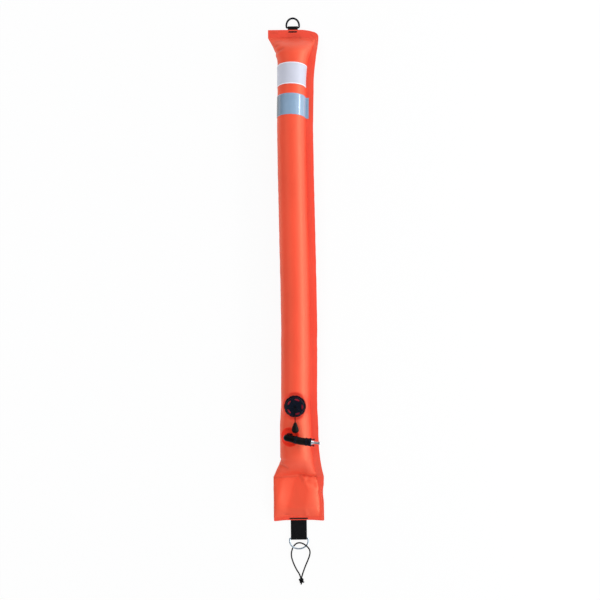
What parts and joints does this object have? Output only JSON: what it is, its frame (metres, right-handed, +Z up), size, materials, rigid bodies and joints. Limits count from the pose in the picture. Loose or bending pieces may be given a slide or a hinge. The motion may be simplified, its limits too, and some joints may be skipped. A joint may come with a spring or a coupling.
{
  "type": "surface marker buoy",
  "caption": "Inflatable fabric marker buoy for divers with a dump valve, a swivelling elbow inflator, and a D-ring on webbing at each end, one with an elastic loop.",
  "frame": {"origin": "centre of the buoy's footprint without its elastic loop, on the surface that it lies on", "axes": "+Y along the tube from the foot to the top D-ring, +X to the welded side flange, +Z up through both valves"},
  "size_m": [0.125, 1.4094, 0.0914],
  "materials": {
    "fabric": "satin",
    "panel": "satin",
    "tape": "satin",
    "webbing": "matte",
    "elastic": "matte",
    "plastic": "satin",
    "rubber": "matte",
    "red_rubber": "satin",
    "steel": "polished",
    "black_steel": "satin"
  },
  "bodies": {
    "buoy": {"bladder": "fabric", "white_panel": "panel", "reflective_tape": "tape", "top_webbing_loop": "webbing", "top_stitching": "webbing", "bottom_webbing_loop": "webbing", "bottom_stitching": "webbing", "dump_body": "plastic", "dump_gasket": "rubber", "dump_clamp_ring": "plastic", "dump_cap": "plastic", "dump_spring": "steel", "inflator_patch": "fabric", "inflator_base": "plastic", "inflator_gasket": "rubber", "inflator_nut": "plastic", "elbow_o_ring": "rubber"},
    "top_ring": {"top_d_ring": "black_steel"},
    "bottom_ring": {"bottom_d_ring": "steel", "bungee_loop": "elastic", "bungee_knot": "elastic"},
    "dump_poppet": {"dump_plate": "plastic", "dump_diaphragm": "red_rubber"},
    "pull": {"pull_cord": "elastic", "pull_toggle": "rubber"},
    "inflator_arm": {"inflator_elbow": "plastic", "elbow_hose_clip": "plastic", "inflator_hose": "rubber", "housing_hose_clip": "plastic", "inflator_housing": "plastic", "inflator_spring": "steel"},
    "lock_collar": {"lock_ring": "plastic"},
    "nipple": {"inflator_nipple": "steel", "nipple_seal": "rubber"}
  },
  "joints": [
    {"name": "top_ring_swing", "type": "hinge", "parent": "buoy", "child": "top_ring", "pos_m": [-0.001, 0.63398, 0.00765], "axis": [1, 0, 0], "range_deg": [-100, 130]},
    {"name": "bottom_ring_swing", "type": "hinge", "parent": "buoy", "child": "bottom_ring", "pos_m": [-0.001, -0.63452, 0.00365], "axis": [-1, 0, 0], "range_deg": [-110, 110]},
    {"name": "dump_poppet_lift", "type": "slide", "parent": "buoy", "child": "dump_poppet", "axis": [0, 0, 1], "range_m": [0, 0.002], "stiffness_N_per_m": 150, "deforming": ["dump_spring"]},
    {"name": "pull_swing", "type": "hinge", "parent": "dump_poppet", "child": "pull", "pos_m": [-0.0064, -0.29772, 0.0709], "axis": [0, 0, 1], "range_deg": [-25, 25]},
    {"name": "inflator_swivel", "type": "hinge", "parent": "buoy", "child": "inflator_arm", "pos_m": [-0.0193, -0.37172, 0.0555], "axis": [-0.2079, 0, 0.9781], "range_deg": [-170, 0]},
    {"name": "lock_ring_turn", "type": "hinge", "parent": "inflator_arm", "child": "lock_collar", "pos_m": [0.02456, -0.37979, 0.08065], "axis": [0.9866, -0.0869, 0.1384], "range_deg": [-45, 45]},
    {"name": "nipple_push", "type": "slide", "parent": "inflator_arm", "child": "nipple", "axis": [-0.9866, 0.0869, -0.1384], "range_m": [0, 0.003], "stiffness_N_per_m": 300, "deforming": ["inflator_spring"]}
  ]
}
